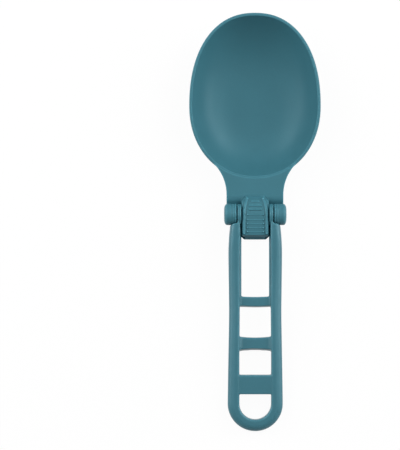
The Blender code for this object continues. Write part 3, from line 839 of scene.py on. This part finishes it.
def makeBar(index):
    g = gripSizes
    steps = abs(index)
    y = copysign(0 if steps == 0 else g["firstStep"] + (steps - 1) * g["pitch"], index)
    half, height = g["half"], g["lowBarHeight"]
    if index > 0:
        half, height = g["upperHalf"], g["barHeight"]
    if index == g["above"]:
        half = g["topHalf"]
    bpy.ops.mesh.primitive_cylinder_add(vertices=g["corners"], radius=g["barWidth"] / 2,
                                        depth=2 * half, rotation=(0, pi / 2, 0))
    bar = bpy.context.object
    bar.name = f"bar_{index + g['below']}"
    bpy.ops.object.transform_apply(location=True, rotation=True, scale=True)
    editOn(bar, "EDGE")
    chooseWhere(bar, "EDGE", lambda c: abs(c[0].x - c[1].x) < nearBy)
    bpy.ops.mesh.bevel(offset=g["barRound"], segments=g["roundSteps"])
    bpy.ops.mesh.select_all(action="SELECT")
    bpy.ops.transform.translate(value=(0, y, thumbFace(y) + height - g["barWidth"] / 2))
    editOff()
    joinWith(bar, makeKnob("dot", g["dotRadius"], half - g["dotRadius"], y,
                           thumbFace(y) + g["dotRise"]))
    return bar


def makeLock():
    s, g, r = lockSizes, gripSizes, railSizes
    length = s["topY"] - s["bottomY"]
    places = [s["bottomY"] + length * k / s["stations"] for k in range(s["stations"] + 1)]
    lock = drawnOut("thumb_slider", [(y, lockSection(y)) for y in places])
    editOff()

    # the slot is the rail grown by the sliding gap, open towards the handle
    gap = s["slideGap"]
    lipLow = r["height"] - r["lip"] - gap
    openY, top = s["bottomY"] - s["slotRoom"], r["topY"] + gap
    stem = block("stem_slot", (-r["stemHalfWidth"] - gap, openY, -s["slotRoom"]),
                 (r["stemHalfWidth"] + gap, top, lipLow + overlap / 2))
    joinWith(lock, stem, "DIFFERENCE")
    lip = block("lip_slot", (-r["halfWidth"] - gap, openY, lipLow),
                (r["halfWidth"] + gap, top, r["height"] + gap))
    joinWith(lock, lip, "DIFFERENCE")
    joinWith(lock, block("nub", *s["nub"]))

    for y, x in g["knobs"]:
        joinWith(lock, makeKnob("knob", g["knobRadius"], x * mm, y * mm,
                                thumbFace(y * mm) + g["knobRise"]))
    for index in range(-g["below"], g["above"] + 1):
        joinWith(lock, makeBar(index))
    mouldedSkin(lock, s["grain"], s["rounds"])
    return lock


lock = makeLock()


# onto the table, and onto the imported bodies

# the last number is the share of painted edge highlight and hollow shade: half on the bowl, full
# on the rest
layDown(bowl, "head", "spoon_head", headNylon, 0.5)
layDown(neck, "head", "spoon_head", headNylon)
layDown(handle, "grip", "handle", handleNylon)
layDown(lock, "lock", "slide_lock", lockNylon)
print("pieces laid down")


# table, light and camera

studio = {
    "worldLight": 0.05, "lampDistance": 1.2,
    # pairs of soft lamps: turn from the bowl's tip to either side, height, width, tallness
    # and power
    "lamps": (("upper", 50, 34, 0.6, 0.6, 5.5), ("side", 85, 18, 0.4, 0.6, 5.7),
              ("high", 80, 60, 0.7, 0.7, 4.2)),
    "lean": 0.09,       # how much stronger the right lamps are, and how much weaker the left ones
    "tableSize": 6, "tableShade": 0.9,
    "whiteTable": 0.95, "whiteAir": 1.0,     # how much of them is plain white where it is seen
    "distance": 1.4, "photoHeight": 288 * mm, "middle": (-35.2 * mm, -6.7 * mm),
    "sensor": 36, "nearest": 0.01,
}


def whiteWhereSeen(tree, share):
    # what the camera, gloss and glass see is mostly plain white, so a soft shadow stays
    nodes, links = tree.nodes, tree.links
    ray = nodes.new("ShaderNodeLightPath")
    either = nodes.new("ShaderNodeMath")
    either.operation = "MAXIMUM"
    links.new(ray.outputs["Is Camera Ray"], either.inputs[0])
    links.new(ray.outputs["Is Glossy Ray"], either.inputs[1])
    seen = nodes.new("ShaderNodeMath")
    seen.operation = "MAXIMUM"
    links.new(either.outputs[0], seen.inputs[0])
    links.new(ray.outputs["Is Transmission Ray"], seen.inputs[1])
    amount = nodes.new("ShaderNodeMath")
    amount.operation = "MULTIPLY"
    amount.inputs[1].default_value = share
    links.new(seen.outputs[0], amount.inputs[0])
    return amount.outputs[0]


def makeTable():
    bpy.ops.mesh.primitive_plane_add(size=studio["tableSize"], location=(0, 0, 0))
    table = bpy.context.object
    table.name = "table"
    material = bpy.data.materials.new("pale_table")
    material.use_nodes = True
    nodes, links = material.node_tree.nodes, material.node_tree.links
    nodes.clear()
    matt = nodes.new("ShaderNodeBsdfDiffuse")
    matt.inputs["Color"].default_value = (*[studio["tableShade"]] * 3, 1)
    white = nodes.new("ShaderNodeEmission")
    white.inputs["Strength"].default_value = 1.0
    mix = nodes.new("ShaderNodeMixShader")
    links.new(whiteWhereSeen(material.node_tree, studio["whiteTable"]), mix.inputs[0])
    links.new(matt.outputs[0], mix.inputs[1])
    links.new(white.outputs[0], mix.inputs[2])
    out = nodes.new("ShaderNodeOutputMaterial")
    links.new(mix.outputs[0], out.inputs["Surface"])
    table.data.materials.append(material)


def makeWorld():
    world = bpy.data.worlds.new("studio_air")
    bpy.context.scene.world = world
    world.use_nodes = True
    nodes, links = world.node_tree.nodes, world.node_tree.links
    air = nodes["Background"]
    air.inputs["Color"].default_value = (1, 1, 1, 1)
    air.inputs["Strength"].default_value = studio["worldLight"]
    seen = nodes.new("ShaderNodeBackground")
    seen.inputs["Color"].default_value = (1, 1, 1, 1)
    mix = nodes.new("ShaderNodeMixShader")
    links.new(whiteWhereSeen(world.node_tree, studio["whiteAir"]), mix.inputs[0])
    links.new(air.outputs[0], mix.inputs[1])
    links.new(seen.outputs[0], mix.inputs[2])
    links.new(mix.outputs[0], nodes["World Output"].inputs["Surface"])


def makeLamp(name, turn, height, width, tallness, power):
    turn, height = radians(turn), radians(height)
    away = Vector((cos(height) * sin(turn), cos(height) * cos(turn), sin(height)))
    place = away * studio["lampDistance"]
    bpy.ops.object.light_add(type="AREA", location=place)
    lamp = bpy.context.object
    lamp.name = name
    lamp.data.shape = "RECTANGLE"
    lamp.data.size, lamp.data.size_y = width, tallness
    lamp.data.energy = power
    lamp.rotation_euler = (-place).to_track_quat("-Z", "Y").to_euler()


def makeCamera():
    # square over the spoon, so it leans back with it, and over the middle of the photo's frame
    tilt = lying["tilt"]
    place = Matrix.Rotation(tilt, 4, "X") @ Vector((*studio["middle"], studio["distance"]))
    bpy.ops.object.camera_add(location=place + Vector((0, lying["shift"], lying["lift"])),
                              rotation=(tilt, 0, 0))
    camera = bpy.context.object
    camera.data.sensor_width = studio["sensor"]
    camera.data.lens = studio["sensor"] * studio["distance"] / studio["photoHeight"]
    camera.data.clip_start = studio["nearest"]
    bpy.context.scene.camera = camera


makeTable()
makeWorld()
for name, turn, *values, power in studio["lamps"]:
    makeLamp(name + "_right", turn, *values, power * (1 + studio["lean"]))
    makeLamp(name + "_left", -turn, *values, power * (1 - studio["lean"]))
makeCamera()
bpy.context.scene.view_settings.view_transform = "Standard"
print("studio ready")
